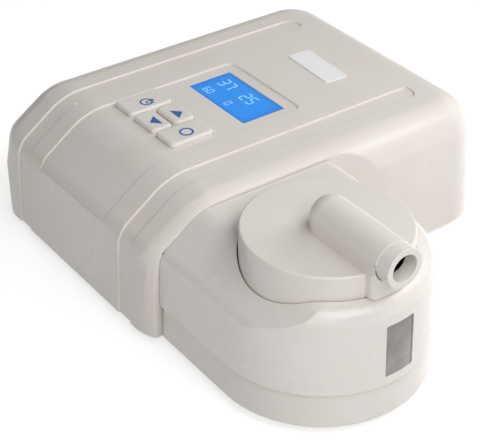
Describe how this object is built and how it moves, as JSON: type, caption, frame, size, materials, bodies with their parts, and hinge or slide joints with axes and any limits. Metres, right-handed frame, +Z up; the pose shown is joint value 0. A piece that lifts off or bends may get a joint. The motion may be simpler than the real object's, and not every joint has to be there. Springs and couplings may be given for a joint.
{
  "type": "high-flow oxygen therapy device",
  "caption": "Desk unit that blends, warms and moistens breathing gas: sloped case with keys and display, and a water chamber beside it under a swivelling outlet tube.",
  "frame": {"origin": "on the surface the unit stands on, under the middle of its whole width and depth", "axes": "+X from the case towards the humidifier and along the outlet tube; +Y from the sloped front to the rear; +Z up"},
  "size_m": [0.3, 0.26, 0.1092],
  "materials": {
    "case_plastic": "fine satin grain",
    "chamber_plastic": "fine satin grain",
    "lid_plastic": "smooth satin",
    "tray_plastic": "satin",
    "chassis_plastic": "satin",
    "key_plastic": "satin",
    "grille_plastic": "satin",
    "plate_film": "plain white film",
    "display_glass": "lit blue window",
    "display_metal": "dark frame",
    "board": "green glass-epoxy board",
    "supply_board": "tan paper-resin board",
    "board_parts": "moulded chips and plugs",
    "supply_parts": "sleeved capacitors and transformer",
    "screw_steel": "zinc plated",
    "black_plastic": "black moulded",
    "brass": "plain",
    "nozzle_metal": "turned",
    "steel": "ground",
    "coil": "moulded over the winding",
    "winding": "lacquered copper on a laminated core",
    "duct_plastic": "grey moulded",
    "box_plastic": "light grey moulded",
    "fan_plastic": "white moulded",
    "foam": "open cell foam",
    "rubber": "black rubber",
    "silicone_tube": "clear silicone",
    "red_seal": "red silicone",
    "insulation": "mineral fibre",
    "heater_film": "polyimide film",
    "heater_metal": "anodised",
    "clear_plastic": "clear moulded",
    "window_plastic": "smoky clear"
  },
  "bodies": {
    "main_unit": {"base_chassis": "chassis_plastic", "top_cover": "case_plastic", "name_plate": "plate_film", "lcd_window": "display_glass", "lcd_module": "display_metal", "display_board": "board", "board_screws": "screw_steel", "tact_switches": "board_parts", "main_board": "board", "board_parts": "board_parts", "supply_board": "supply_board", "supply_parts": "supply_parts", "power_inlet": "black_plastic", "inlet_pins": "brass", "alarm_speaker": "black_plastic", "oxygen_inlet": "nozzle_metal", "oxygen_valve": "brass", "valve_coil": "coil", "oxygen_tube": "silicone_tube", "mixing_box": "box_plastic", "inlet_hood": "box_plastic", "filter_foam": "foam", "oxygen_sensor": "black_plastic", "blower_mounts": "rubber", "blower_lower": "duct_plastic", "blower_upper": "duct_plastic", "motor_stator": "winding", "motor_bearings": "steel", "outlet_duct": "duct_plastic", "flow_sensor": "black_plastic", "port_seal": "rubber", "cover_screws": "screw_steel", "rubber_feet": "rubber", "humidifier_tray": "tray_plastic", "tray_screws": "screw_steel", "heater_insulator": "insulation", "heater_element": "heater_film", "heater_plate": "heater_metal"},
    "key_menu_cap": {"key_menu": "key_plastic"},
    "key_up_cap": {"key_up": "key_plastic"},
    "key_down_cap": {"key_down": "key_plastic"},
    "key_power_cap": {"key_power": "key_plastic"},
    "rocker": {"power_rocker": "black_plastic"},
    "gas_plunger": {"valve_plunger": "steel"},
    "filter_grille": {"filter_cover": "grille_plastic"},
    "rotor": {"impeller": "fan_plastic", "motor_shaft": "steel", "motor_magnet": "steel"},
    "chamber": {"chamber_housing": "chamber_plastic", "water_tub": "clear_plastic", "tub_base_plate": "heater_metal", "tub_seal": "red_seal", "level_window": "window_plastic", "chamber_inlet": "clear_plastic"},
    "inner_lid": {"lid_plug": "clear_plastic", "plug_skirt": "clear_plastic", "plug_seal": "rubber"},
    "outer_lid": {"outlet_lid": "lid_plastic", "outlet_tube": "lid_plastic", "swivel_seal": "rubber"}
  },
  "joints": [
    {"name": "menu_key_press", "type": "slide", "parent": "main_unit", "child": "key_menu_cap", "axis": [0, 0, -1], "range_m": [0, 0.0008], "stiffness_N_per_m": 1500, "springref_m": -0.0006},
    {"name": "up_key_press", "type": "slide", "parent": "main_unit", "child": "key_up_cap", "axis": [0, 0, -1], "range_m": [0, 0.0008], "stiffness_N_per_m": 1500, "springref_m": -0.0006},
    {"name": "down_key_press", "type": "slide", "parent": "main_unit", "child": "key_down_cap", "axis": [0, 0, -1], "range_m": [0, 0.0008], "stiffness_N_per_m": 1500, "springref_m": -0.0006},
    {"name": "power_key_press", "type": "slide", "parent": "main_unit", "child": "key_power_cap", "axis": [0, 0, -1], "range_m": [0, 0.0008], "stiffness_N_per_m": 1500, "springref_m": -0.0006},
    {"name": "rocker_tilt", "type": "hinge", "parent": "main_unit", "child": "rocker", "pos_m": [-0.0905, 0.104, 0.032], "axis": [1, 0, 0], "range_deg": [0, 14]},
    {"name": "gas_plunger_lift", "type": "slide", "parent": "main_unit", "child": "gas_plunger", "axis": [0, 0, 1], "range_m": [0, 0.001], "stiffness_N_per_m": 800, "springref_m": -0.001},
    {"name": "filter_grille_pull", "type": "slide", "parent": "main_unit", "child": "filter_grille", "axis": [0, 1, 0], "range_m": [0, 0.03]},
    {"name": "rotor_spin", "type": "hinge", "parent": "main_unit", "child": "rotor", "pos_m": [-0.03, -0.04, 0.045], "axis": [0, 0, 1], "continuous": true},
    {"name": "chamber_slide", "type": "slide", "parent": "main_unit", "child": "chamber", "axis": [1, 0, 0], "range_m": [0, 0.13]},
    {"name": "inner_lid_lift", "type": "slide", "parent": "chamber", "child": "inner_lid", "axis": [0, 0, 1], "range_m": [0, 0.06]},
    {"name": "outlet_swivel", "type": "hinge", "parent": "inner_lid", "child": "outer_lid", "pos_m": [0.0915, -0.0615, 0.0978], "axis": [0, 0, 1], "continuous": true}
  ]
}
